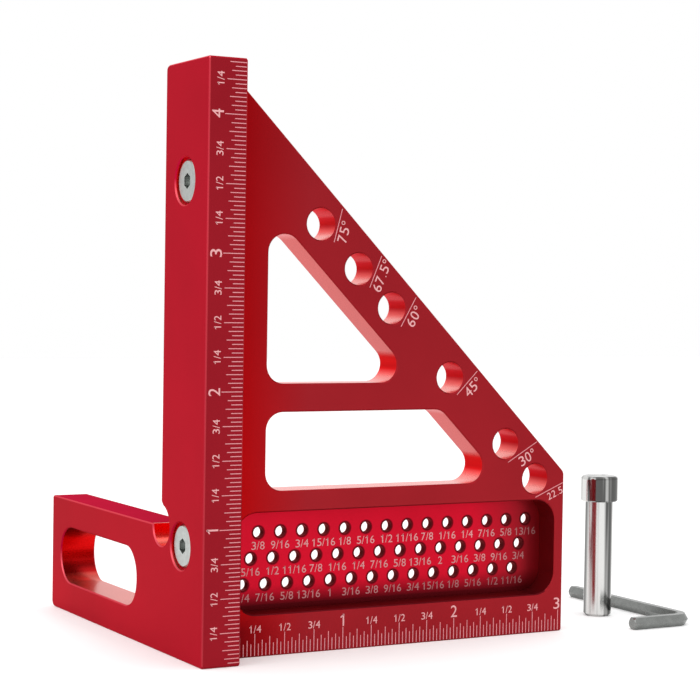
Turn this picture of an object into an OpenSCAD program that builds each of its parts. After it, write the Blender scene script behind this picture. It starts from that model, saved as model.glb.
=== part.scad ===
// Woodworker's angle rule: an L-shaped fence screwed to a 45 degree triangle
// plate, with its locating pin and hex key. Lengths are millimetres; the scales
// are true inches.

/* [Fence] */
// Thickness of the L-shaped fence
fence_t = 7.8; // [6:0.1:10]
// Height of the fence's upright leg
fence_h = 112; // [108:0.5:130]
// Depth of the upright leg, front to back
leg_depth = 19.5; // [18:0.1:22]
// Length of the foot, from the fence's front face
foot_length = 79; // [70:0.5:95]
// Height of the foot
foot_h = 24.25; // [22:0.05:26]
// Length of the foot's long slot
slot_length = 42.2; // [30:0.1:43]
// Height of the foot's long slot
slot_h = 11.9; // [9:0.1:13]
// Wall between the slot and the foot's lower side
slot_low_wall = 6.4; // [5.5:0.1:7]
// Wall between the slot and the foot's rear end
slot_end_wall = 5.3; // [4.5:0.1:7]
// Radius of the relief hole in the inner corner
relief_r = 3.9; // [3:0.1:4.2]
// Height at which the leg's slanted heel starts above the foot
heel_rise = 5.05; // [4.6:0.05:7]
// Corner radius at the foot's lower rear end
foot_corner_r = 1.5; // [1:0.1:4]
// Corner radius at the top of the leg's rear edge
leg_corner_r = 1.1; // [1:0.1:4]

/* [Triangle plate] */
// Width of the triangle plate along its base
plate_w = 77.2; // [77:0.1:90]
// Thickness of the triangle plate
plate_t = 7; // [6.6:0.1:8]
// How far the plate's front face sits behind the fence's front face
plate_setback = 6.9; // [5:0.1:7.5]
// Height of the plate along the fence
plate_h = 110.2; // [109:0.1:112]
// Radius of the plate's corner where the sloping edge ends
plate_corner_r = 1.5; // [0.5:0.1:3]
// Wall between the windows and the fence side
window_wall = 8.2; // [7:0.1:10]
// Upright distance from the sloping edge down to the windows
band_drop = 16.7; // [16:0.1:18]
// Height of the lower window's sill
window_sill_z = 31.45; // [30:0.05:33]
// Height of the lower window
lower_window_h = 15; // [12:0.1:16]
// Height of the bar between the two windows
bar_h = 5.45; // [4:0.05:7]
// Corner radius of the windows
window_r = 3.5; // [2:0.1:4]

/* [Angle holes] */
// Radius of each angle hole
angle_hole_r = 3.1; // [3.05:0.01:3.2]
// Upright distance from the sloping edge down to the row of angle holes
angle_row_drop = 8.35; // [7.5:0.05:9]
// Distance from the angle's own line through the zero corner to the hole's centre
angle_line_offset = 2.6; // [2:0.05:3.2]

/* [Marking holes] */
// Wall around the sunk field on the left and right
field_wall = 2.1; // [1.8:0.1:2.4]
// Height of the lower edge of the sunk field
field_low_z = 8; // [7.5:0.1:8.5]
// Height of the sunk field
field_h = 19.4; // [19:0.1:20.5]
// Depth of the sunk field
field_depth = 5.6; // [4:0.1:6]
// Corner radius of the sunk field
field_r = 4.5; // [3:0.1:5]
// Radius of each marking hole
marking_hole_r = 1.05; // [0.6:0.05:1.3]
// Distance between the rows of marking holes
marking_row_step = 5.02; // [4.6:0.01:5.2]
// Height of the top row above the base
marking_top_z = 22.94; // [22:0.01:23.4]

/* [Scales] */
// Depth of the engraved marks
mark_depth = 0.1; // [0.05:0.01:0.2]
// Width of each engraved mark
mark_w = 0.2; // [0.15:0.01:0.35]
// Length of the whole-inch marks
inch_mark = 4.3; // [4:0.1:4.6]
// Length of the quarter-inch marks
quarter_mark = 3.95; // [3.6:0.05:4.2]
// Length of the eighth-inch marks
eighth_mark = 3.4; // [3.2:0.05:3.6]
// Length of the sixteenth-inch marks
sixteenth_mark = 3; // [2.8:0.05:3.2]
// Length of the finest marks
finest_mark = 2.3; // [2:0.05:2.6]
// Length of the lines beside the four upper angle holes
angle_mark = 6.7; // [5:0.1:6.8]
// Distance from the upper lines' ends to the sloping edge
angle_mark_edge = 0.55; // [0.4:0.05:1]
// How far the two lowest lines start before their holes' centres
low_angle_mark_start = 1.4; // [0.5:0.1:1.6]
// Distance from the two lowest lines' ends to the plate's edges
low_angle_mark_edge = 0.3; // [0.3:0.05:0.6]
// Distance from an angle hole's centre to its line
angle_mark_gap = 3.55; // [3.4:0.05:3.8]

/* [Screws] */
// Height of the upper screw
upper_screw_z = 89.7; // [89:0.1:92]
// Height of the lower screw
lower_screw_z = 21.4; // [20:0.1:22]
// Whole length of each countersunk screw
screw_length = 10; // [8:1:10]
// Radius of the screw's thread
thread_r = 2; // [1.6:0.1:2]
// Pitch of the screw's thread
thread_pitch = 0.7; // [0.5:0.05:0.8]
// Radius of the screw's head
head_r = 4; // [3.8:0.1:4.2]
// How deep the head sits below the fence's face
head_sink = 0.5; // [0.3:0.1:1]
// Width across the flats of the screw's socket
socket_flats = 2.6; // [2.55:0.01:2.8]
// Depth of the screw's socket
socket_depth = 1.6; // [1.2:0.1:1.8]

/* [Locating pin] */
// Radius of the pin's shank
pin_r = 3; // [2.9:0.01:3]
// Length of the pin's shank
pin_shank = 25; // [20:0.5:30]
// Radius of the pin's head
pin_head_r = 4.05; // [3.8:0.05:5]
// Height of the pin's head
pin_head_h = 5.5; // [4:0.1:7]

/* [Hex key] */
// Width across the flats of the key's bar
key_flats = 2.5; // [2.4:0.01:2.5]
// Length of the key's long arm, over the bend
key_long = 42.6; // [38:0.1:50]
// Length of the key's short arm, over the bend
key_short = 15.8; // [13:0.1:18]
// Outside radius of the key's bend
key_bend_r = 4.2; // [4:0.1:5]

/* [Hidden] */
$fn = 64;

inch = 25.4;
overrun = 1;
edge_break_w = 0.25;
small_corner_r = 0.5;
// Tiny step between an arc and the straight edge that it joins, and how far a cutter runs past the joint
seam = 0.002;
seam_angle = 2;
slot_end_flat = 0.2;
relief_meet_angle = 150;
angles = [75, 67.5, 60, 45, 30, 22.5];

// Spacing of the marking holes, and the sixteenths at which the three rows start
marking_pitch = inch * 3 / 16;
marking_start_sixteenths = [6, 5, 4];
marking_count = 14;
marks_per_inch = 32;
fence_scale_marks = floor((fence_h - small_corner_r) / inch * 8) * 4;
base_scale_marks = floor((plate_w - edge_break_w) / inch * 8) * 4;
base_inch_mark = inch_mark - mark_w / 2;
base_eighth_mark = eighth_mark + mark_w;

// The screws stand in the middle of the plate's thickness
screw_y = plate_setback + plate_t / 2;
screw_clearance = 0.15;
thread_clearance = 0.05;
seat_clearance = 0.1;
head_clearance = 0.5;
head_rim = 0.3;
thread_depth = thread_pitch * 0.5;
blind_depth = screw_length - fence_t + head_sink + 3 * thread_r;
screw_head_x = -fence_t + head_sink;
seat_x = screw_head_x + head_rim + seat_clearance;
plain_neck = thread_pitch;
thread_turns = floor((screw_length - head_rim - (head_r - thread_r) - plain_neck) / thread_pitch);

// Pin and key stand and lie to the right of the plate
pin_gap = 18.8;
pin_depth = 20;
pin_at = [plate_w + pin_gap, pin_depth];
pin_head_round = 0.7;
pin_tip_chamfer = 0.5;
key_gap = 10;
key_bar_r = key_flats / 2 / cos(30);
key_x = pin_at.x + key_gap;
key_near_y = 0.4;
key_end_chamfer = 0.35;
key_bend_mid_r = key_bend_r - key_flats / 2;

// Row frame: middle of the whole set's box, on the surface it stands on
set_low_x = -fence_t;
set_high_x = key_x + key_bar_r;
set_middle = [(set_low_x + set_high_x) / 2, foot_length / 2, 0];

// Side view of the fence, as depth and height
relief_centre = [leg_depth, foot_h];
fence_points = [
    [0, 0], [foot_length, 0], [foot_length, foot_h], relief_centre, [leg_depth, fence_h], [0, fence_h]
];
fence_radii = [small_corner_r, foot_corner_r, small_corner_r, 0, leg_corner_r, small_corner_r];
heel_points = [
    relief_centre, relief_centre + [0, heel_rise],
    relief_centre + (relief_r - edge_break_w) * [cos(relief_meet_angle), sin(relief_meet_angle)]
];
slot_far = foot_length - slot_end_wall;
slot_near = slot_far - slot_length;
slot_points = box_points([slot_near, slot_low_wall], [slot_far, slot_low_wall + slot_h]);
slot_end_r = slot_h / 2 - slot_end_flat;

// Front view of the triangle plate, as width and height
plate_points = [[0, 0], [plate_w, 0], [plate_w, plate_h - plate_w], [0, plate_h]];
plate_radii = [0, small_corner_r, plate_corner_r, 0];
window_sum = plate_h - band_drop;
bar_low_z = window_sill_z + lower_window_h;
bar_top_z = bar_low_z + bar_h;
upper_window_points = [
    [window_wall, bar_top_z], [window_sum - bar_top_z, bar_top_z], [window_wall, window_sum - window_wall]
];
lower_window_points = [
    [window_wall, window_sill_z], [window_sum - window_sill_z, window_sill_z],
    [window_sum - bar_low_z, bar_low_z], [window_wall, bar_low_z]
];
field_points = box_points([field_wall, field_low_z], [plate_w - field_wall, field_low_z + field_h]);

function box_points(low, high) = [low, [high.x, low.y], high, [low.x, high.y]];
function unit(v) = v / norm(v);
function same_radii(points, r) = [for (p = points) r];
function cyclic(list, i) = list[(i + len(list)) % len(list)];

// Half the angle between the two edges that meet at corner i
function half_angle(points, i) = acos(
    unit(cyclic(points, i - 1) - points[i]) * unit(cyclic(points, i + 1) - points[i])) / 2;

// Where the rounding of corner i meets the edge that runs towards another corner
function tangent_point(points, radii, i, towards) = points[i]
    + unit(cyclic(points, towards) - points[i]) * radii[i] / tan(half_angle(points, i));

function corner_centre(points, radii, i) = points[i]
    + unit(unit(cyclic(points, i - 1) - points[i]) + unit(cyclic(points, i + 1) - points[i]))
    * radii[i] / sin(half_angle(points, i));

// Centre of the hole that sets an angle: on the row, beside the angle's own line
function angle_hole_along(a) = (plate_h - angle_row_drop - angle_line_offset * (cos(a) - sin(a)))
    / (cos(a) + sin(a));
function angle_hole_at(a) = angle_hole_along(a) * [cos(a), sin(a)]
    + angle_line_offset * [-sin(a), cos(a)];

// How far an angle's line can run past its hole's centre to stay clear of the plate's edges
function slope_reach(a, clear) = (angle_row_drop - clear * sqrt(2)
    - angle_mark_gap * (sin(a) - cos(a))) / (cos(a) + sin(a));
function side_reach(a, clear) = (plate_w - clear - angle_hole_at(a).x - angle_mark_gap * sin(a)) / cos(a);

// Start and end of an angle's line; the two lowest run right to the edge
function angle_mark_span(a) = a < 45
    ? [-low_angle_mark_start, min(slope_reach(a, low_angle_mark_edge), side_reach(a, low_angle_mark_edge))]
    : slope_reach(a, angle_mark_edge) * [1, 1] - [angle_mark, 0];

// Length of mark i on a scale that is divided into thirty-seconds
function mark_length(i, whole, quarter, eighth) =
    i % 32 == 0 ? whole : i % 8 == 0 ? quarter : i % 4 == 0 ? eighth
    : i % 2 == 0 ? sixteenth_mark : finest_mark;

// Flat outline with a true arc at each rounded corner
module rounded_outline(points, radii) {
    polygon([for (i = [0 : len(points) - 1])
        each radii[i] > 0
            ? [tangent_point(points, radii, i, i - 1), tangent_point(points, radii, i, i + 1)]
            : [points[i]]]);
    for (i = [0 : len(points) - 1])
        if (radii[i] > 0)
            translate(corner_centre(points, radii, i)) circle(radii[i] - seam);
}

// Cutter that breaks the sharp edge all round an outline
module edge_break(points, radii) {
    for (i = [0 : len(points) - 1]) {
        j = (i + 1) % len(points);
        from = radii[i] > 0 ? tangent_point(points, radii, i, j) : points[i];
        to = radii[j] > 0 ? tangent_point(points, radii, j, i) : points[j];
        past_from = radii[i] > 0 ? 3 * seam : edge_break_w;
        past_to = radii[j] > 0 ? 3 * seam : edge_break_w;
        translate(from) rotate([0, 0, atan2(to.y - from.y, to.x - from.x)])
            rotate([0, 90, 0]) translate([0, 0, -past_from])
                cylinder(h = norm(to - from) + past_from + past_to, r = edge_break_w, $fn = 4);
        if (radii[i] > 0) {
            centre = corner_centre(points, radii, i);
            start = tangent_point(points, radii, i, i - 1) - centre;
            translate(centre) rotate([0, 0, atan2(start.y, start.x) - seam_angle])
                rotate_extrude(angle = 180 - 2 * half_angle(points, i) + 2 * seam_angle)
                    translate([radii[i], 0]) circle(r = edge_break_w - 2 * seam, $fn = 4);
        }
    }
}

// Cutter that breaks the edge of a round hole
module hole_break(r, w) {
    rotate_extrude() translate([r, 0]) circle(r = w, $fn = 4);
}

// Slab with a rounded outline and both outer edges broken
module slab(points, radii, thickness) {
    difference() {
        linear_extrude(thickness) rounded_outline(points, radii);
        for (level = [0, thickness])
            translate([0, 0, level]) edge_break(points, radii);
    }
}

// Opening right through a slab, with both edges broken
module opening(points, radii, thickness) {
    translate([0, 0, -overrun])
        linear_extrude(thickness + 2 * overrun) rounded_outline(points, radii);
    for (level = [0, thickness])
        translate([0, 0, level]) edge_break(points, radii);
}

// Stands a front view, drawn as width and height, up at the plate's place
module at_plate() {
    translate([0, plate_setback + plate_t, 0]) rotate([90, 0, 0]) children();
}

// Stands a side view, drawn as depth and height, up at the fence's place
module at_fence() {
    translate([-fence_t, 0, 0]) rotate([90, 0, 90]) children();
}

// Lays an upright screw or hole down, so that its top faces away from the plate
module along_screw(z) {
    translate([0, screw_y, z]) rotate([0, -90, 0]) children();
}

// Marks along the fence's inner front edge, drawn in its front view
module fence_scale() {
    for (i = [1 : fence_scale_marks]) {
        length = mark_length(i, inch_mark, quarter_mark, eighth_mark);
        translate([-edge_break_w - length, i * inch / marks_per_inch - mark_w / 2])
            square([length, mark_w]);
    }
}

// Marks along the plate's base, drawn in its front view
module base_scale() {
    for (i = [1 : base_scale_marks]) {
        length = mark_length(i, base_inch_mark, base_inch_mark, base_eighth_mark);
        translate([i * inch / marks_per_inch - mark_w / 2, edge_break_w])
            square([mark_w, length]);
    }
}

// Short line that shows the slope of an angle beside its hole
module angle_lines() {
    for (a = angles) {
        span = angle_mark_span(a);
        translate(angle_hole_at(a)) rotate(a)
            translate([span[0], -angle_mark_gap - mark_w / 2]) square([span[1] - span[0], mark_w]);
    }
}

module marking_holes() {
    for (row = [0 : len(marking_start_sixteenths) - 1])
        for (i = [0 : marking_count - 1])
            translate([
                marking_start_sixteenths[row] * inch / 16 + i * marking_pitch,
                marking_top_z - row * marking_row_step,
                -overrun
            ]) cylinder(h = plate_t + 2 * overrun, r = marking_hole_r);
}

module tapped_hole(depth) {
    translate([0, 0, -depth]) cylinder(h = depth + overrun, r = thread_r + thread_clearance);
}

module triangle_plate() {
    color([0.66, 0.1, 0.15]) translate(-set_middle) difference() {
        at_plate() difference() {
            slab(plate_points, plate_radii, plate_t);
            opening(upper_window_points, same_radii(upper_window_points, window_r), plate_t);
            opening(lower_window_points, same_radii(lower_window_points, window_r), plate_t);
            for (a = angles)
                translate(angle_hole_at(a)) {
                    translate([0, 0, -overrun]) cylinder(h = plate_t + 2 * overrun, r = angle_hole_r);
                    for (level = [0, plate_t])
                        translate([0, 0, level]) hole_break(angle_hole_r, edge_break_w);
                }
            translate([0, 0, plate_t - field_depth])
                linear_extrude(field_depth + overrun)
                    rounded_outline(field_points, same_radii(field_points, field_r));
            translate([0, 0, plate_t]) edge_break(field_points, same_radii(field_points, field_r));
            marking_holes();
            translate([0, 0, plate_t - mark_depth]) linear_extrude(mark_depth + overrun) {
                base_scale();
                angle_lines();
            }
        }
        along_screw(upper_screw_z) tapped_hole(blind_depth);
        along_screw(lower_screw_z) tapped_hole(field_wall + overrun);
    }
}

// Hole for one screw: plain bore, cone under the head and straight-sided recess
module screw_hole() {
    bore_r = thread_r + screw_clearance;
    recess_r = head_r + head_clearance;
    seat_r = head_r + screw_clearance;
    translate([0, 0, -overrun]) cylinder(h = fence_t + 2 * overrun, r = bore_r);
    translate([0, 0, -seat_x - (seat_r - bore_r)]) cylinder(h = seat_r - bore_r, r1 = bore_r, r2 = seat_r);
    translate([0, 0, -seat_x]) cylinder(h = fence_t + seat_x + overrun, r = recess_r);
    translate([0, 0, fence_t]) hole_break(recess_r, edge_break_w);
}

module fence_plate() {
    color([0.75, 0.11, 0.18]) translate(-set_middle) difference() {
        at_fence() difference() {
            slab(fence_points, fence_radii, fence_t);
            opening(slot_points, same_radii(slot_points, slot_end_r), fence_t);
            translate([relief_centre.x, relief_centre.y, -overrun])
                cylinder(h = fence_t + 2 * overrun, r = relief_r);
            for (level = [0, fence_t])
                translate([relief_centre.x, relief_centre.y, level]) hole_break(relief_r, edge_break_w);
            translate([0, 0, -overrun]) linear_extrude(fence_t + 2 * overrun) polygon(heel_points);
        }
        for (z = [upper_screw_z, lower_screw_z])
            along_screw(z) screw_hole();
        translate([0, mark_depth, 0]) rotate([90, 0, 0])
            linear_extrude(mark_depth + overrun) fence_scale();
    }
}

// Outline of half a screw, as radius and height above the plate's edge
function thread_ring(i, top) = [
    [thread_r, top - i * thread_pitch],
    [thread_r, top - (i + 0.15) * thread_pitch],
    [thread_r - thread_depth, top - (i + 0.5) * thread_pitch],
    [thread_r, top - (i + 0.85) * thread_pitch]
];

module screw() {
    top = -screw_head_x;
    under_head = top - head_rim - (head_r - thread_r);
    tip = top - screw_length;
    thread_top = under_head - plain_neck;
    difference() {
        rotate_extrude() polygon(concat(
            [[0, top], [head_r - edge_break_w, top], [head_r, top - edge_break_w],
             [head_r, top - head_rim], [thread_r, under_head]],
            [for (i = [0 : thread_turns - 1]) each thread_ring(i, thread_top)],
            [[thread_r - thread_depth, tip], [0, tip]]
        ));
        translate([0, 0, top - socket_depth])
            cylinder(h = socket_depth + overrun, r = socket_flats / 2 / cos(30), $fn = 6);
        translate([0, 0, top - socket_depth - socket_flats / 4])
            cylinder(h = socket_flats / 4, r1 = 0, r2 = socket_flats / 2);
    }
}

module upper_screw() {
    color([0.7, 0.72, 0.71]) translate(-set_middle) along_screw(upper_screw_z) screw();
}

module lower_screw() {
    color([0.7, 0.72, 0.71]) translate(-set_middle) along_screw(lower_screw_z) screw();
}

module locating_pin() {
    top = pin_shank + pin_head_h;
    color([0.62, 0.63, 0.62]) translate(-set_middle) translate(pin_at) {
        rotate_extrude() polygon([
            [0, 0], [pin_r - pin_tip_chamfer, 0], [pin_r, pin_tip_chamfer],
            [pin_r, pin_shank], [pin_head_r - edge_break_w, pin_shank],
            [pin_head_r, pin_shank + edge_break_w], [pin_head_r, top - pin_head_round],
            [0, top - pin_head_round]
        ]);
        rotate_extrude() {
            translate([0, top - pin_head_round - overrun / 2])
                square([pin_head_r - pin_head_round, pin_head_round + overrun / 2]);
            translate([pin_head_r - pin_head_round, top - pin_head_round]) intersection() {
                circle(pin_head_round);
                square(pin_head_round);
            }
        }
    }
}

// Hex bar along +Z with a small chamfer at its far end
module hex_bar(length) {
    intersection() {
        rotate([0, 0, 30]) cylinder(h = length, r = key_bar_r, $fn = 6);
        union() {
            cylinder(h = length - key_end_chamfer, r = 2 * key_bar_r);
            translate([0, 0, length - key_end_chamfer])
                cylinder(h = key_end_chamfer, r1 = key_bar_r, r2 = key_bar_r - key_end_chamfer);
        }
    }
}

module hex_key() {
    color([0.56, 0.57, 0.56]) translate(-set_middle)
        translate([key_x - key_bend_mid_r, key_near_y + key_bend_r, key_flats / 2]) rotate(180) {
            rotate([0, 0, 90]) rotate_extrude(angle = 90)
                translate([key_bend_mid_r, 0]) circle(r = key_bar_r, $fn = 6);
            translate([-key_bend_mid_r, 0, 0]) rotate([90, 0, 0]) rotate([0, 0, 30])
                hex_bar(key_long - key_bend_r);
            translate([0, key_bend_mid_r, 0]) rotate([0, 90, 0])
                hex_bar(key_short - key_bend_r);
        }
}

triangle_plate();
fence_plate();
upper_screw();
lower_screw();
locating_pin();
hex_key();
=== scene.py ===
"""Looks of a woodworker's angle rule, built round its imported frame. Lengths are in metres."""

import math

import bmesh
import bpy
from mathutils import Matrix, Vector


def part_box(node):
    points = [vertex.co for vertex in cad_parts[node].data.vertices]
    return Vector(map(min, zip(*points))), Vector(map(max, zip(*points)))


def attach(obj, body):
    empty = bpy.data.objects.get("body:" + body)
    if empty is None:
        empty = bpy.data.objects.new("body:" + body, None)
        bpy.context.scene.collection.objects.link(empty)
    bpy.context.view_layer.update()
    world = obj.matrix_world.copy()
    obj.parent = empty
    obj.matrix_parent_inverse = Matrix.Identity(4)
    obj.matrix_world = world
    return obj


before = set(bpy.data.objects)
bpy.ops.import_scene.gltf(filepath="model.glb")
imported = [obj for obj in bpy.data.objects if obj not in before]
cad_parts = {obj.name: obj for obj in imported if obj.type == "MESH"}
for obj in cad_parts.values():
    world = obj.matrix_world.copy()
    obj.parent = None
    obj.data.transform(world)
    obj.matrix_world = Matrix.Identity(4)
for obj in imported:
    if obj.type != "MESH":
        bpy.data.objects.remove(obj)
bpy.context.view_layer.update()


# Triangle plate: a 7 mm plate of red anodised aluminium. It was milled, then blasted
# to a fine even grain before dyeing, so its faces are satin and its milled walls smoother.

MM = 0.001
INCH = 0.0254
plate_low, plate_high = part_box("triangle_plate")
fence_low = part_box("fence_plate")[0]
zero_corner = Vector((plate_low.x, fence_low.y, plate_low.z))


class Wire:
    """A socket in a material, which can be added and multiplied like a number."""

    def __init__(self, tree, socket=None):
        self.tree = tree
        self.socket = socket

    def node(self, kind, output=0, settings=None, inputs=None):
        """Adds a node of any kind and returns the wire of one of its outputs."""
        made = self.tree.nodes.new("ShaderNode" + kind)
        for name, value in (settings or {}).items():
            setattr(made, name, value)
        for name, value in (inputs or {}).items():
            if isinstance(value, Wire):
                self.tree.links.new(value.socket, made.inputs[name])
            else:
                made.inputs[name].default_value = value
        return Wire(self.tree, made.outputs[output])

    def math(self, operation, *values):
        """Adds a Math node with numbers or wires in its sockets."""
        return self.node("Math", 0, {"operation": operation}, dict(enumerate(values)))

    def vector(self, operation, inputs):
        """Adds a Vector Math node."""
        return self.node("VectorMath", 0, {"operation": operation}, inputs)

    def __add__(self, other):
        return self.math("ADD", self, other)

    __radd__ = __add__

    def __sub__(self, other):
        return self.math("SUBTRACT", self, other)

    def __rsub__(self, other):
        return self.math("SUBTRACT", other, self)

    def __mul__(self, other):
        return self.math("MULTIPLY", self, other)

    __rmul__ = __mul__

    def highest(self, *others):
        """The highest of several values."""
        top = self
        for other in others:
            top = self.math("MAXIMUM", top, other)
        return top

    def within(self, low, high):
        """One between two values, nought outside them."""
        return self.math("GREATER_THAN", self, low) * self.math("LESS_THAN", self, high)

    def blend(self, start, end):
        """Mixes two colours, with this wire as the factor."""
        return self.node("Mix", 2, {"data_type": "RGBA"}, {0: self, 6: start, 7: end})

    def stretch(self, low, high, to_low, to_high):
        """Maps one range of values to another, held at its ends."""
        inputs = {0: self, 1: low, 2: high, 3: to_low, 4: to_high}
        return self.node("MapRange", inputs=inputs)

    def ramp(self, start, end):
        """Goes from nought at one value to one at another, held at its ends."""
        return self.stretch(start, end, 0.0, 1.0)

    def times(self, factor):
        """Scales a colour by a number."""
        return self.vector("SCALE", {0: self, "Scale": factor})


def new_material(name):
    """A material with nothing but an output, and a wire to draw nodes from."""
    material = bpy.data.materials.new(name)
    material.use_nodes = True
    nodes = material.node_tree.nodes
    nodes.remove(nodes["Principled BSDF"])
    return material, Wire(material.node_tree)


def output_of(draw, shader):
    """Feeds a shader to the material's surface."""
    surface = draw.tree.nodes["Material Output"].inputs["Surface"]
    draw.tree.links.new(shader.socket, surface)


def rgb(red, green, blue):
    """Screen colour from 0 to 255, as the linear colour that a shader takes."""
    def linear(c):
        c = c / 255
        return c / 12.92 if c < 0.04045 else ((c + 0.055) / 1.055) ** 2.4

    return (linear(red), linear(green), linear(blue), 1.0)


GRAIN_SIZE = 0.16 * MM
GRAIN_HEIGHT = 0.0035 * MM
CLOUD_SIZE = 22 * MM
CLOUD_TONES = (0.94, 1.06)
NOISE_SPAN = (0.3, 0.7)
WALL_SLOPE = 0.45
SHEEN_TINT = (1.0, 0.22, 0.28, 1.0)


def from_corner(draw, node):
    """Place on a CAD node, in millimetres from the low corner of its box."""
    corner = Vector(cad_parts[node].bound_box[0])
    place = draw.node("TexCoord", "Object")
    scaled = draw.vector("SUBTRACT", {0: place, 1: corner}).times(1 / MM)
    return [draw.node("SeparateXYZ", axis, inputs={0: scaled}) for axis in "XYZ"]


def facing(draw, axis):
    """How far the surface faces along an axis, from -1 to 1."""
    return draw.node("SeparateXYZ", axis, inputs={0: draw.node("TexCoord", "Normal")})


def near(across, up, middle, radius):
    """More than nought inside a circle in a plate's side view."""
    across, up = across - middle[0], up - middle[1]
    return radius * radius - (across * across + up * up)


def noise(draw, place, size, detail):
    """Soft random tone, in spots of a given size."""
    return draw.node("TexNoise", inputs={"Vector": place, "Scale": 1 / size, "Detail": detail})


def anodised(draw, thickness_axis, face_colour, wall_colour, milled, dull=0.0):
    """Dyed blasted aluminium: smooth from the mill where milled is one, no sheen where dull is."""
    place = draw.node("TexCoord", "Object")
    grain = noise(draw, place, GRAIN_SIZE, 2.0)
    cloud = noise(draw, place, CLOUD_SIZE, 3.0)
    across = facing(draw, thickness_axis)
    wall = across.math("LESS_THAN", across.math("ABSOLUTE", across), WALL_SLOPE)
    tone = cloud.stretch(*NOISE_SPAN, *CLOUD_TONES)
    colour = wall.blend(face_colour, wall_colour).times(tone)
    face_bump = {"Strength": 0.6, "Distance": GRAIN_HEIGHT, "Height": grain}
    face = draw.node("BsdfPrincipled", inputs={
        "Base Color": colour,
        "Roughness": 0.4 + 0.12 * (grain - 0.5),
        "Metallic": 0.78,
        "Specular IOR Level": 0.2,
        "Specular Tint": SHEEN_TINT,
        "Normal": draw.node("Bump", inputs=face_bump),
    })
    wall_bump = {"Strength": 0.3, "Distance": GRAIN_HEIGHT, "Height": cloud}
    smooth = draw.node("BsdfPrincipled", inputs={
        "Base Color": colour,
        "Roughness": 0.28 + 0.1 * (grain - 0.5),
        "Metallic": 0.9,
        "Normal": draw.node("Bump", inputs=wall_bump),
    })
    shiny = draw.node("MixShader", inputs={0: wall * milled, 1: face, 2: smooth})
    matte = draw.node("BsdfPrincipled", inputs={"Base Color": colour, "Specular IOR Level": 0.0})
    output_of(draw, draw.node("MixShader", inputs={0: dull, 1: shiny, 2: matte}))


def dress(node, material):
    """Gives a CAD node its finish."""
    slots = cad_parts[node].data.materials
    slots.clear()
    slots.append(material)


ANGLES = (75, 67.5, 60, 45, 30, 22.5)
ANGLE_ROW_SUM = 101.85 * MM
ANGLE_LINE_OFFSET = 2.6 * MM


def angle_hole_centre(degrees):
    """Centre of an angle hole from the zero corner: on the row, beside the angle's own line."""
    c, s = math.cos(math.radians(degrees)), math.sin(math.radians(degrees))
    along = (ANGLE_ROW_SUM - ANGLE_LINE_OFFSET * (c - s)) / (c + s)
    return along * c - ANGLE_LINE_OFFSET * s, along * s + ANGLE_LINE_OFFSET * c


# The face has a painted red reflection beside the fence and painted shade in its low corner.
# Here and below, places are in millimetres from the plate's low corner, and a pair says where
# a tone starts and is full.
FACE_RED = rgb(152, 32, 39)
REFLECTION_LOW_RED = rgb(176, 0, 0)
REFLECTION_HIGH_RED = rgb(154, 0, 4)
REFLECTION_UP = (30.0, 90.0)
REFLECTION_ACROSS = (17.0, 0.5)
CORNER_SHADE_RED = rgb(104, 6, 12)
CORNER_SHADE_ACROSS = (13.0, 2.0)
CORNER_SHADE_UP = (10.0, 5.0)
FRONT_DEPTHS = (-0.5, 0.5)

plate_red, draw = new_material("plate_red")
x, y, z = from_corner(draw, "triangle_plate")
# Painted red reflection of the fence on the face beside it
reflection_colour = z.ramp(*REFLECTION_UP).blend(REFLECTION_LOW_RED, REFLECTION_HIGH_RED)
face_colour = x.ramp(*REFLECTION_ACROSS).blend(FACE_RED, reflection_colour)
# Painted shade in the face's low corner, by the fence
low_corner_shade = x.ramp(*CORNER_SHADE_ACROSS) * z.ramp(*CORNER_SHADE_UP) * y.within(*FRONT_DEPTHS)
face_colour = low_corner_shade.blend(face_colour, CORNER_SHADE_RED)

# The sunk field: painted shade darkens its floor to the right and the foot, and round each
# hole's rim
SIXTEENTH = INCH / 16
# Of each row of marking holes: its height, and its first hole's distance in sixteenths
HOLE_ROWS = ((22.94 * MM, 6), (17.92 * MM, 5), (12.9 * MM, 4))
HOLES_IN_ROW = 14
HOLE_STEP = 3
RIM_RADIUS = 1.55
RIM_SOFTNESS = 0.7
RIM_SHARE = 0.85
RIM_SHADE_RED = rgb(58, 8, 12)
FLOOR_RED = rgb(204, 20, 44)
FLOOR_RIGHT_SHADE_RED = rgb(150, 28, 38)
FLOOR_RIGHT_SHADE = (58.0, 72.0)
FLOOR_FOOT_SHADE_RED = rgb(92, 15, 23)
FLOOR_FOOT_SHADE = (12.6, 8.6)
FIELD_ACROSS = (1.9, 75.3)
FIELD_UP = (7.8, 27.6)
FLOOR_DEPTHS = (5.4, 6.9)
FIELD_DEPTHS = (0.3, 6.9)
SILL_SHADE_RED = rgb(92, 15, 22)
SILL_ACROSS = (1.9, 73.0)
SILL_UP = (7.7, 8.9)
SILL_DEPTHS = (0.03, 6.9)
FIELD_WALL_SHADE_RED = rgb(120, 27, 35)
FIELD_CORNER_SHADE_RED = rgb(64, 9, 14)
FIELD_CORNER_SHADE = (5.4, 5.7)

# Painted shade in a ring round each marking hole on the floor
rim = x * 0.0
for row_z, first in HOLE_ROWS:
    half_step = HOLE_STEP * SIXTEENTH / MM / 2
    along = x - first * SIXTEENTH / MM
    along = along.math("WRAP", along, half_step, -half_step)
    beside_hole = near(along, z, (0.0, row_z / MM), RIM_RADIUS).ramp(0.0, RIM_SOFTNESS)
    past_last = first + HOLE_STEP * (HOLES_IN_ROW - 1) + 1
    in_row = x.within((first - 1) * SIXTEENTH / MM, past_last * SIXTEENTH / MM)
    rim = rim.highest(beside_hole * in_row)
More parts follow.
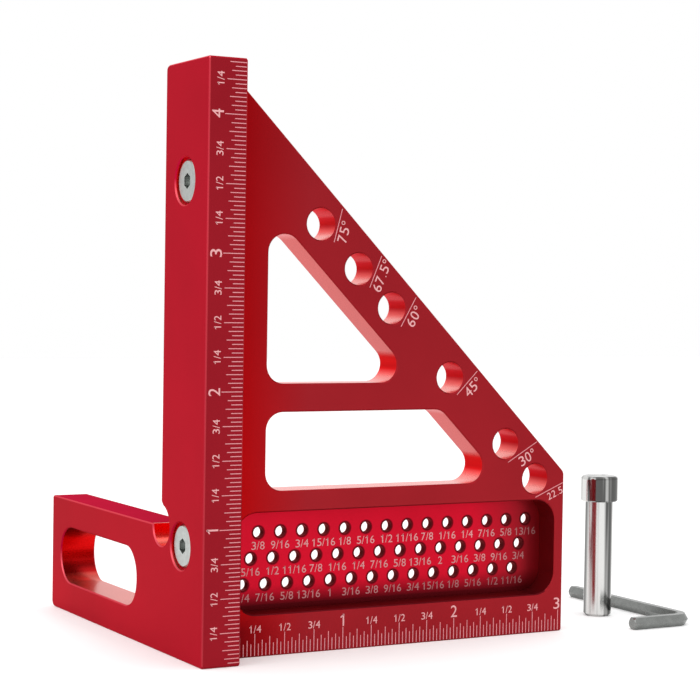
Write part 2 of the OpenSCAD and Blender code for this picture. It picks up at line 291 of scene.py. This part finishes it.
# Painted shade on the field's floor, towards its right end and its foot
floor_colour = x.ramp(*FLOOR_RIGHT_SHADE).blend(FLOOR_RED, FLOOR_RIGHT_SHADE_RED)
floor_colour = z.ramp(*FLOOR_FOOT_SHADE).blend(floor_colour, FLOOR_FOOT_SHADE_RED)
floor_colour = (RIM_SHARE * rim).blend(floor_colour, RIM_SHADE_RED)
in_field = x.within(*FIELD_ACROSS) * z.within(*FIELD_UP)
on_floor = y.within(*FLOOR_DEPTHS) * in_field
sill = y.within(*SILL_DEPTHS) * x.within(*SILL_ACROSS) * z.within(*SILL_UP)
face_colour = on_floor.blend(face_colour, floor_colour)
# Painted shade along the field's low wall
face_colour = sill.blend(face_colour, SILL_SHADE_RED)
sunk = sill.highest(y.within(*FIELD_DEPTHS) * in_field)
# Painted shade on the walls of the field and of the marking holes, darkest in the holes
sunk_shade_colour = y.ramp(*FIELD_CORNER_SHADE).blend(FIELD_WALL_SHADE_RED, FIELD_CORNER_SHADE_RED)

# The windows and the angle holes: bright below with painted highlights, also on the windows'
# slanted walls, and dull under the holes' roofs, which take a painted lighter tone. A tilt goes
# from -1, where a wall faces down, to 1, where it faces up.
WINDOW_RED = rgb(206, 16, 22)
SLANT_HIGHLIGHT_RED = rgb(198, 54, 50)
SLANT_START = (-0.45, -0.62)
SLANT_END = (-0.95, -0.8)
TURNED_UP_HIGHLIGHT_RED = rgb(255, 40, 44)
TURNED_UP = (0.1, 0.5)
BORE_RADIUS = 3.5
BORE_SOFTNESS = 0.3
BORE_RED = rgb(192, 14, 28)
ROOF_HIGHLIGHT_RED = rgb(212, 62, 72)
ROOF_TILT = (-0.15, -0.9)
LIT_PINK = rgb(255, 158, 152)
LIT_TILT = (0.25, 0.95)
LIT_BORE_TILT = (0.05, 0.75)
LIT_ACROSS = (0.6, 0.3)
LEFT_FACING = (-0.72, -0.92)

tilt = facing(draw, "Z")
across = facing(draw, "X")
in_bore = x * 0.0
for degrees in ANGLES:
    middle = [place / MM for place in angle_hole_centre(degrees)]
    bore = near(x, z, middle, BORE_RADIUS).ramp(0.0, BORE_SOFTNESS)
    in_bore = in_bore.highest(bore)
# Painted highlights by tilt: on the windows' slanted walls, under the holes' roofs, and on walls
# that face up
slanted = tilt.ramp(*SLANT_START) * tilt.ramp(*SLANT_END)
window_colour = slanted.blend(WINDOW_RED, SLANT_HIGHLIGHT_RED)
under_roof = in_bore * tilt.ramp(*ROOF_TILT)
bore_colour = under_roof.blend(BORE_RED, ROOF_HIGHLIGHT_RED)
lit = in_bore.blend(tilt.ramp(*LIT_TILT), tilt.ramp(*LIT_BORE_TILT))
lit = lit * across.ramp(*LIT_ACROSS)
side_on = across.ramp(*LEFT_FACING)
wall_colour = in_bore.blend(window_colour, bore_colour)
wall_colour = tilt.ramp(*TURNED_UP).blend(wall_colour, TURNED_UP_HIGHLIGHT_RED)
wall_colour = lit.blend(wall_colour, LIT_PINK)
wall_colour = sunk.blend(wall_colour, sunk_shade_colour)

# The outer edges were blasted with the faces, so they look like them
OUTER_REACH = 0.5
width, height = (plate_high.x - plate_low.x) / MM, (plate_high.z - plate_low.z) / MM
edge_reach = (x - width).highest(x + z - height, 0.0 - x, 0.0 - z)
outer = edge_reach.math("GREATER_THAN", edge_reach, -OUTER_REACH)
wall_colour = outer.blend(wall_colour, face_colour)
milled = 1.0 - sunk.highest(under_roof, outer, side_on)
anodised(draw, "Y", face_colour, wall_colour, milled)
dress("triangle_plate", plate_red)


# Marks and numbers on the triangle plate: laser cut through the dye, so the pale oxide shows.
# The scale counts inches from the fence in thirty-seconds; a line shows each hole's angle.

MARK_DEPTH = 0.1 * MM
MARK_WIDTH = 0.16 * MM
MARK_SINK = 0.012 * MM
PAINT_FILL = 0.98
EDGE_BREAK = 0.25 * MM
BASE_MARKS = 96
THIRTY_SECOND = INCH / 32
MARK_LENGTHS = {1: 2.3 * MM, 2: 3.0 * MM, 4: 3.57 * MM, 8: 4.17 * MM, 32: 4.17 * MM}
ANGLE_MARK_GAP = 3.55 * MM
ANGLE_MARK_LENGTH = 6.7 * MM
ANGLE_MARK_EDGE = 0.55 * MM
LOW_ANGLE_MARK_START = 1.4 * MM
LOW_ANGLE_MARK_EDGE = 0.3 * MM
ANGLE_ROW_DROP = 8.35 * MM

SPECKLE_SIZE = 0.12 * MM
WORN_SPAN = (0.35, 0.7)
NUMBER_SHADE_RED = rgb(112, 22, 30)
NUMBER_SHADE_RIGHT = (60 * MM, 74 * MM)
NUMBER_SHADE_FOOT = (18 * MM, 11 * MM)
NUMBER_SHADE_ACROSS = (22 * MM, 70 * MM)
NUMBER_SHADE_SHARES = (0.55, 1.0)
HOLE_NUMBER_SHADE = 0.72


def laser_cut(name, clean, worn, shade_share=0.0):
    """Bared oxide, clean in most places and a little worn in others, with painted shade where
    told.
    """
    material, draw = new_material(name)
    place = draw.node("TexCoord", "Object")
    speckle = draw.node("TexNoise", inputs={"Vector": place, "Scale": 1 / SPECKLE_SIZE})
    colour = speckle.ramp(*WORN_SPAN).blend(clean, worn)
    x, y, z = [draw.node("SeparateXYZ", axis, inputs={0: place}) for axis in "XYZ"]
    across, up = x - plate_low.x, z - plate_low.z
    # Painted shade on the figures towards the field's right end and its foot, as much as told
    shade_at_foot = up.ramp(*NUMBER_SHADE_FOOT) * across.stretch(*NUMBER_SHADE_ACROSS, *NUMBER_SHADE_SHARES)
    number_shade = across.ramp(*NUMBER_SHADE_RIGHT).highest(shade_at_foot) * shade_share
    output_of(draw, draw.node("BsdfPrincipled", inputs={
        "Base Color": number_shade.blend(colour, NUMBER_SHADE_RED),
        "Roughness": 0.55 + 0.2 * speckle,
    }))
    return material


CLEAN_WHITE = rgb(255, 198, 199)
WORN_WHITE = rgb(252, 168, 171)
mark_pink = laser_cut("mark_pink", rgb(255, 180, 186), rgb(242, 138, 146))
number_white = laser_cut("number_white", CLEAN_WHITE, WORN_WHITE)
hole_number_white = laser_cut("hole_number_white", CLEAN_WHITE, WORN_WHITE, HOLE_NUMBER_SHADE)


def new_piece(name, build, material, body):
    """A mesh piece that rides on a body and takes the given finish."""
    mesh = bpy.data.meshes.new(name)
    build.to_mesh(mesh)
    build.free()
    mesh.materials.append(material)
    piece = bpy.data.objects.new(name, mesh)
    bpy.context.scene.collection.objects.link(piece)
    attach(piece, body)


def add_bar(build, place, size):
    """A flat bar with one end at the middle of its base line, seen from the front."""
    length, width, depth = size
    bar = Matrix.Diagonal((length, depth, width, 1.0))
    shift = Matrix.Translation((0.5, 0, 0))
    bmesh.ops.create_cube(build, size=1.0, matrix=place @ bar @ shift)


def front_place(x, y, z, turn):
    """Place of a mark on a front face, turned in that face."""
    return Matrix.Translation((x, y, z)) @ Matrix.Rotation(-turn, 4, "Y")


def mark_length(lengths, i):
    """Length of the mark at a count of thirty-seconds: the rounder the fraction, the longer."""
    return next(lengths[step] for step in (32, 8, 4, 2, 1) if i % step == 0)


def beside_hole(degrees, along, below, y):
    """Place that lies along an angle's line and below its hole, turned by the angle."""
    turn = math.radians(degrees)
    x, z = angle_hole_centre(degrees)
    x += zero_corner.x + along * math.cos(turn) + below * math.sin(turn)
    z += plate_low.z + along * math.sin(turn) - below * math.cos(turn)
    return front_place(x, y, z, turn)


def angle_mark_span(degrees):
    """Start and end of an angle's line, measured along it from beside its hole."""
    c, s = math.cos(math.radians(degrees)), math.sin(math.radians(degrees))

    def slope_reach(clear):
        return (ANGLE_ROW_DROP - clear * math.sqrt(2) - ANGLE_MARK_GAP * (s - c)) / (c + s)

    if degrees >= 45:
        end = slope_reach(ANGLE_MARK_EDGE)
        return end - ANGLE_MARK_LENGTH, end
    beside = angle_hole_centre(degrees)[0] + ANGLE_MARK_GAP * s
    side_reach = (plate_high.x - plate_low.x - LOW_ANGLE_MARK_EDGE - beside) / c
    return -LOW_ANGLE_MARK_START, min(slope_reach(LOW_ANGLE_MARK_EDGE), side_reach)


bar_depth = (MARK_DEPTH - MARK_SINK) * PAINT_FILL
plate_mark_y = plate_low.y + MARK_SINK + bar_depth / 2
marks = bmesh.new()
for i in range(1, BASE_MARKS + 1):
    x = zero_corner.x + i * THIRTY_SECOND
    base = front_place(x, plate_mark_y, plate_low.z + EDGE_BREAK, math.pi / 2)
    add_bar(marks, base, (mark_length(MARK_LENGTHS, i), MARK_WIDTH, bar_depth))
for degrees in ANGLES:
    start, end = angle_mark_span(degrees)
    base = beside_hole(degrees, start, ANGLE_MARK_GAP, plate_mark_y)
    add_bar(marks, base, (end - start, MARK_WIDTH, bar_depth))
new_piece("plate_marks", marks, mark_pink, "triangle")


NUMBER_PROUD = 0.01 * MM


def extent(mesh, axis):
    """Lowest and highest place of a mesh along an axis."""
    places = [v.co[axis] for v in mesh.vertices]
    return min(places), max(places)


def figure_mesh(letter):
    """Mesh of one figure, stretched to a box that is one high and one wide."""
    curve = bpy.data.curves.new("figure", "FONT")
    curve.body = letter
    curve.extrude = NUMBER_PROUD
    curve.resolution_u = 4
    holder = bpy.data.objects.new("figure", curve)
    bpy.context.scene.collection.objects.link(holder)
    graph = bpy.context.evaluated_depsgraph_get()
    mesh = bpy.data.meshes.new_from_object(holder.evaluated_get(graph))
    bpy.data.objects.remove(holder)
    (left, right), (foot, top) = [extent(mesh, axis) for axis in (0, 1)]
    fit = Matrix.Diagonal((1 / (right - left), 1 / (top - foot), 1, 1))
    mesh.transform(fit @ Matrix.Translation((-left, -foot, 0)))
    return mesh


# Of each figure, in heights of a numeral: advance, width, height and lift
DEGREE = "\N{DEGREE SIGN}"
FIGURES = {
    "/": (0.40, 0.36, 1.0, 0.0),
    ".": (0.40, 0.12, 0.12, 0.0),
    DEGREE: (0.56, 0.38, 0.4, 0.6),
    "4": (0.78, 0.68, 1.0, 0.0),
}
NUMERAL = (0.78, 0.62, 1.0, 0.0)
STAND = Matrix.Rotation(math.pi / 2, 4, "X")
figure_meshes = {letter: figure_mesh(letter) for letter in "023456789/." + DEGREE}

# Of the figure 1, in its height: where its stem and its flag start, and their sizes
STEM_ACROSS = 0.42
STEM_WIDTH = 0.14
FLAG_START = (0.44, 0.94)
FLAG_TURN = math.radians(218)
FLAG_LENGTH = 0.36
FLAG_WIDTH = 0.1


def add_one(build, place, cap):
    """The figure 1: a stem with a short flag at its upper left."""
    thickness = 2 * NUMBER_PROUD
    stem = place @ front_place(STEM_ACROSS * cap, 0, 0, math.pi / 2)
    add_bar(build, stem, (cap, STEM_WIDTH * cap, thickness))
    flag = place @ front_place(FLAG_START[0] * cap, 0, FLAG_START[1] * cap, FLAG_TURN)
    add_bar(build, flag, (FLAG_LENGTH * cap, FLAG_WIDTH * cap, thickness))


def add_number(build, words, cap, middle):
    """Figures of one cap height, centred at a place on a front face."""
    shapes = [FIGURES.get(letter, NUMERAL) for letter in words]
    pen = -sum(shape[0] for shape in shapes) / 2
    for letter, (advance, width, height, lift) in zip(words, shapes):
        left = pen if letter == "1" else pen + (advance - width) / 2
        place = middle @ Matrix.Translation((left * cap, 0, (lift - 0.5) * cap))
        pen += advance
        if letter == "1":
            add_one(build, place, cap)
            continue
        mesh = figure_meshes[letter].copy()
        mesh.transform(place @ STAND @ Matrix.Diagonal((width * cap, height * cap, 1, 1)))
        build.from_mesh(mesh)
        bpy.data.meshes.remove(mesh)


WHOLE_CAP = 2.35 * MM
FRACTION_CAP = 1.42 * MM
BASE_NUMBER_GAP = 0.2 * MM
LAST_NUMBER_SHIFT = 0.35 * MM
FRACTIONS = {8: "1/4", 16: "1/2", 24: "3/4"}
# Of each angle's number: its cap height, and how far its middle lies along the line
ANGLE_NUMBERS = {
    75: (2.1 * MM, -0.05 * MM),
    67.5: (2.05 * MM, 0.8 * MM),
    60: (2.1 * MM, 1.15 * MM),
    45: (2.1 * MM, 2.35 * MM),
    30: (2.1 * MM, 3.08 * MM),
    22.5: (1.5 * MM, 3.35 * MM),
}
ANGLE_NUMBER_BELOW = 5.1 * MM
SMALL_ANGLE_NUMBER_BELOW = 4.75 * MM


def scale_number(i):
    """Words and cap height of the number at a count of thirty-seconds."""
    if i % 32 == 0:
        return str(i // 32), WHOLE_CAP
    return FRACTIONS[i % 32], FRACTION_CAP


numbers = bmesh.new()
for i in range(8, BASE_MARKS + 1, 8):
    words, cap = scale_number(i)
    x = zero_corner.x + i * THIRTY_SECOND - (LAST_NUMBER_SHIFT if i == BASE_MARKS else 0)
    z = plate_low.z + EDGE_BREAK + MARK_LENGTHS[8] + BASE_NUMBER_GAP + cap / 2
    add_number(numbers, words, cap, front_place(x, plate_low.y, z, 0))
for degrees, (cap, along) in ANGLE_NUMBERS.items():
    at_edge = degrees == ANGLES[-1]
    words = str(degrees) if at_edge else f"{degrees}{DEGREE}"
    below = SMALL_ANGLE_NUMBER_BELOW if at_edge else ANGLE_NUMBER_BELOW
    add_number(numbers, words, cap, beside_hole(degrees, along, below, plate_low.y))
new_piece("plate_numbers", numbers, number_white, "triangle")


# Numbers of the marking holes: each hole in the sunk field draws a line at its own distance
# from the fence, counted in sixteenths, which is marked below it on the field's floor.

FIELD_DEPTH = 5.6 * MM
HOLE_CAP = 1.55 * MM
HOLE_NUMBER_DROP = 2.55 * MM


def sixteenths_words(count):
    """Distance in inches: the whole number on a whole inch, otherwise the fraction alone."""
    whole, rest = divmod(count, 16)
    if rest == 0:
        return str(whole)
    shared = math.gcd(rest, 16)
    return f"{rest // shared}/{16 // shared}"


hole_numbers = bmesh.new()
for row_z, first in HOLE_ROWS:
    for i in range(HOLES_IN_ROW):
        count = first + HOLE_STEP * i
        x = zero_corner.x + count * SIXTEENTH
        place = front_place(x, plate_low.y + FIELD_DEPTH, row_z - HOLE_NUMBER_DROP, 0)
        add_number(hole_numbers, sixteenths_words(count), HOLE_CAP, place)
new_piece("marking_hole_numbers", hole_numbers, hole_number_white, "triangle")


# Fence plate: a 7.8 mm L-shaped plate, milled and dyed like the triangle plate. The scale on
# its front edge counts inches from the foot, with its numbers turned to read from the right.

SCREW_PLACES = ((10.4, 89.7), (10.4, 21.4))
RECESS_RADIUS = 4.9
RELIEF_PLACE = (19.5, 24.25)
RELIEF_RADIUS = 4.3
ROUND_SOFTNESS = 0.2
SLOT_ALONG = (31.0, 74.2)
SLOT_UP = (5.0, 19.0)

fence_red, draw = new_material("fence_red")
x, y, z = from_corner(draw, "fence_plate")
in_slot = y.within(*SLOT_ALONG) * z.within(*SLOT_UP)
in_rounds = near(y, z, RELIEF_PLACE, RELIEF_RADIUS)
for screw_place in SCREW_PLACES:
    in_rounds = in_rounds.highest(near(y, z, screw_place, RECESS_RADIUS))
milled = in_slot.highest(in_rounds.ramp(0.0, ROUND_SOFTNESS))

# Faces: painted shade deepens the side's red round the foot and darkens the front face, faces
# that look up are painted a lit crimson, and broken edges get a painted highlight
SIDE_RED = rgb(174, 11, 48)
FOOT_SHADE_RED = rgb(168, 9, 46)
FOOT_END_SHADE_RED = rgb(158, 5, 43)
FOOT_SHADE_ALONG = (15.0, 79.0)
FOOT_SHADE_UP = (45.0, 28.0)
SOLE_SHADE_UP = (3.0, 16.0)
SOLE_SHADE_SHARES = (0.4, 1.0)
FRONT_SHADE_RED = rgb(150, 27, 38)
FRONT_DEPTH = (0.3, 0.1)
TOP_LIT_CRIMSON = rgb(177, 26, 54)
TOP_TILT = (0.9, 0.97)
EDGE_HIGHLIGHT_PINK = rgb(236, 104, 112)
EDGE_ACROSS = (0.5, 0.92)
EDGE_TILT = (-0.1, 0.3)
EDGE_SHARES = (0.0, 0.6)

tilt = facing(draw, "Z")
across = facing(draw, "X")
# Painted shade: the side's red deepens round the foot and towards the foot's end
foot_shade_colour = y.ramp(*FOOT_SHADE_ALONG).blend(FOOT_SHADE_RED, FOOT_END_SHADE_RED)
foot_shade = z.ramp(*FOOT_SHADE_UP) * z.stretch(*SOLE_SHADE_UP, *SOLE_SHADE_SHARES)
side_colour = foot_shade.blend(SIDE_RED, foot_shade_colour)
# Painted shade: the front face is darker than the side
face_colour = y.ramp(*FRONT_DEPTH).blend(side_colour, FRONT_SHADE_RED)
# Painted light: faces that look up take their own crimson
top = tilt.ramp(*TOP_TILT)
face_colour = top.blend(face_colour, TOP_LIT_CRIMSON)
# Painted highlight on the broken edges
broken = across.math("ABSOLUTE", across).within(*EDGE_ACROSS)
face_colour = (broken * tilt.stretch(*EDGE_TILT, *EDGE_SHARES)).blend(face_colour, EDGE_HIGHLIGHT_PINK)

# Milled walls: clear red in the recesses and the relief, and deeper in the slot, with painted
# shade on its roof and where its walls turn up, and painted highlights on the sills
CLEAR_RED = rgb(246, 16, 18)
SLOT_RED = rgb(236, 6, 8)
SLOT_SHADE_RED = rgb(150, 5, 8)
SLOT_ROOF_SHADE_RED = rgb(140, 6, 8)
SLOT_SHADE_TILT = (0.0, 0.5)
SLOT_ROOF_TILT = (-0.5, -0.9)
SILL_HIGHLIGHT_PINK = rgb(228, 104, 92)
ROUND_SILL_TILT = (0.3, 0.9)
SLOT_SILL_TILT = (0.7, 0.97)

# Painted shade on the slot's roof and where its walls turn up, and painted highlights on the sills
slot_colour = tilt.ramp(*SLOT_SHADE_TILT).blend(SLOT_RED, SLOT_SHADE_RED)
slot_colour = tilt.ramp(*SLOT_ROOF_TILT).blend(slot_colour, SLOT_ROOF_SHADE_RED)
milled_colour = in_slot.blend(CLEAR_RED, slot_colour)
sill = in_slot.blend(tilt.ramp(*ROUND_SILL_TILT), tilt.ramp(*SLOT_SILL_TILT))
milled_colour = sill.blend(milled_colour, SILL_HIGHLIGHT_PINK)
wall_colour = milled.blend(face_colour, milled_colour)
anodised(draw, "X", face_colour, wall_colour, milled, top * (1.0 - milled))
dress("fence_plate", fence_red)

FENCE_MARK_LENGTHS = {1: 2.3 * MM, 2: 3.0 * MM, 4: 3.4 * MM, 8: 3.95 * MM, 32: 4.3 * MM}
FENCE_MARKS = 140
FENCE_WHOLE_MIDDLE = 6.0 * MM
FENCE_FRACTION_MIDDLE = 5.5 * MM

fence_marks = bmesh.new()
fence_numbers = bmesh.new()
fence_mark_y = fence_low.y + MARK_SINK + bar_depth / 2
for i in range(1, FENCE_MARKS + 1):
    z = fence_low.z + i * THIRTY_SECOND
    base = front_place(zero_corner.x - EDGE_BREAK, fence_mark_y, z, math.pi)
    add_bar(fence_marks, base, (mark_length(FENCE_MARK_LENGTHS, i), MARK_WIDTH, bar_depth))
    if i % 8 == 0:
        words, cap = scale_number(i)
        middle = FENCE_WHOLE_MIDDLE if i % 32 == 0 else FENCE_FRACTION_MIDDLE
        place = front_place(zero_corner.x - middle, fence_low.y, z, math.pi / 2)
        add_number(fence_numbers, words, cap, place)
new_piece("fence_marks", fence_marks, mark_pink, "fence")
new_piece("fence_numbers", fence_numbers, number_white, "fence")


# Screws: two M4 countersunk socket screws, zinc plated. The heads are turned, so their
# polish runs in rings round the socket.

WANDER_SIZE = 1.1 * MM
LINE_HEIGHT = 0.004 * MM
RING_SIZE = 0.25 * MM
RING_SQUASH = 0.05
DULL_SHARE = 0.82
ZINC = rgb(180, 184, 181)
ZINC_ROUGHNESS = 0.34


def turned_steel(name, colour, axis, ring_size, roughness):
    """Steel that was turned or drawn: faint rings or lines, finer along one axis."""
    material, draw = new_material(name)
    place = draw.node("TexCoord", "Object")
    wander = noise(draw, place, WANDER_SIZE, 3.0)
    squash = tuple(1.0 if i == axis else RING_SQUASH for i in range(3))
    rings = noise(draw, draw.vector("MULTIPLY", {0: place, 1: squash}), ring_size, 2.0)
    dull = tuple(DULL_SHARE * c for c in colour[:3]) + (1.0,)
    bump = {"Strength": 0.35, "Distance": LINE_HEIGHT, "Height": rings}
    output_of(draw, draw.node("BsdfPrincipled", inputs={
        "Base Color": wander.ramp(*NOISE_SPAN).blend(colour, dull),
        "Roughness": roughness + 0.14 * (rings - 0.5) + 0.08 * (wander - 0.5),
        "Metallic": 1.0,
        "Normal": draw.node("Bump", inputs=bump),
    }))
    return material


screw_steel = turned_steel("screw_steel", ZINC, 0, RING_SIZE, ZINC_ROUGHNESS)
dress("upper_screw", screw_steel)
dress("lower_screw", screw_steel)


# Locating pin: ground and polished steel, 6 mm in the shank, dropped through an angle hole so
# that the rule turns to that angle against a board's edge. Grinding left streaks along it, in
# its bump; the dark and bright bands along it are painted reflections.

PIN_REFLECTION_DARK = rgb(84, 84, 83)
PIN_REFLECTION_BRIGHT = rgb(212, 212, 210)
PIN_ROUGHNESS = 0.15
STREAK_SIZE = 2.0 * MM
STREAK_SQUASH = (1.0, 1.0, 0.012)
STREAK_SPAN = (0.42, 0.58)

pin_steel, draw = new_material("pin_steel")
place = draw.node("TexCoord", "Object")
drawn_out = draw.vector("MULTIPLY", {0: place, 1: STREAK_SQUASH})
streak = noise(draw, drawn_out, STREAK_SIZE, 2.5)
# The streaks also paint dark and bright reflections into the colour
tone = streak.ramp(*STREAK_SPAN)
streak_bump = {"Strength": 0.3, "Distance": LINE_HEIGHT, "Height": streak}
output_of(draw, draw.node("BsdfPrincipled", inputs={
    "Base Color": tone.blend(PIN_REFLECTION_DARK, PIN_REFLECTION_BRIGHT),
    "Roughness": PIN_ROUGHNESS + 0.1 * (tone - 0.5),
    "Metallic": 1.0,
    "Normal": draw.node("Bump", inputs=streak_bump),
}))
dress("locating_pin", pin_steel)


# Hex key: 2.5 mm drawn hexagonal bar, bent cold and plated. Drawing leaves fine lines that
# run along its legs.

KEY_GREY = rgb(138, 140, 138)
KEY_LINE_SIZE = 0.5 * MM
KEY_ROUGHNESS = 0.27

dress("hex_key", turned_steel("key_steel", KEY_GREY, 2, KEY_LINE_SIZE, KEY_ROUGHNESS))


# Studio: a white floor in an even white world, with two soft lights that are placed at the
# upper left and above, and a camera at the photograph's place and lens.

FLOOR_SIZE = 3.0
FLOOR_CLOUD_SCALE = 8.0
FLOOR_GREY = rgb(178, 178, 178)
FLOOR_PALE = rgb(240, 240, 240)
FLOOR_WHITE = rgb(246, 246, 246)
FLOOR_GLOW = 0.18
BLACK = rgb(0, 0, 0)
WHITE = rgb(255, 255, 255)

floor_white, draw = new_material("floor_white")
place = draw.node("TexCoord", "Object")
cloud = draw.node("TexNoise", inputs={"Vector": place, "Scale": FLOOR_CLOUD_SCALE, "Detail": 2.0})
seen_floor = cloud.ramp(*NOISE_SPAN).blend(FLOOR_PALE, FLOOR_WHITE)
seen = draw.node("LightPath", "Is Camera Ray")
seen = seen.highest(draw.node("LightPath", "Is Glossy Ray"))
seen = seen.highest(draw.node("LightPath", "Is Transmission Ray"))
output_of(draw, draw.node("BsdfPrincipled", inputs={
    "Base Color": seen.blend(FLOOR_GREY, seen_floor),
    "Roughness": 0.6,
    "Specular IOR Level": 0.1,
    "Emission Color": seen.blend(BLACK, WHITE),
    "Emission Strength": FLOOR_GLOW,
}))

floor_build = bmesh.new()
bmesh.ops.create_grid(floor_build, x_segments=1, y_segments=1, size=FLOOR_SIZE / 2)
floor_mesh = bpy.data.meshes.new("floor")
floor_build.to_mesh(floor_mesh)
floor_build.free()
floor_mesh.materials.append(floor_white)
floor = bpy.data.objects.new("floor", floor_mesh)
floor.location.z = plate_low.z
bpy.context.scene.collection.objects.link(floor)

world = bpy.data.worlds.new("studio")
world.use_nodes = True
world.node_tree.nodes["Background"].inputs["Color"].default_value = WHITE
bpy.context.scene.world = world

# Of each soft light: its place, width, height and power
SOFT_LIGHTS = {
    "left_softbox": ((-0.75, -0.15, 0.45), 0.6, 0.8, 2.0),
    "top_softbox": ((0.1, -0.1, 0.9), 0.7, 0.7, 1.6),
}
LIGHT_AIM = Vector((zero_corner.x + 0.02, 0.0, 0.05))
for name, (place, width, height, power) in SOFT_LIGHTS.items():
    data = bpy.data.lights.new(name, "AREA")
    data.shape = "RECTANGLE"
    data.size = width
    data.size_y = height
    data.energy = power
    light = bpy.data.objects.new(name, data)
    light.location = place
    light.rotation_euler = (LIGHT_AIM - Vector(place)).to_track_quat("-Z", "Y").to_euler()
    bpy.context.scene.collection.objects.link(light)

CAMERA_FROM_ZERO = Vector((-151.64, -313.81, 68.45)) * MM
CAMERA_TURN = (88.412, -0.889, -28.958)
CAMERA_LENS = 97.34
SENSOR_WIDTH = 36.0
NEAREST_SEEN = 0.01

view = bpy.data.cameras.new("camera")
view.lens = CAMERA_LENS
view.sensor_width = SENSOR_WIDTH
view.clip_start = NEAREST_SEEN
camera = bpy.data.objects.new("camera", view)
camera.location = zero_corner + CAMERA_FROM_ZERO
camera.rotation_euler = [math.radians(a) for a in CAMERA_TURN]
bpy.context.scene.collection.objects.link(camera)
bpy.context.scene.camera = camera
bpy.context.scene.view_settings.view_transform = "Standard"
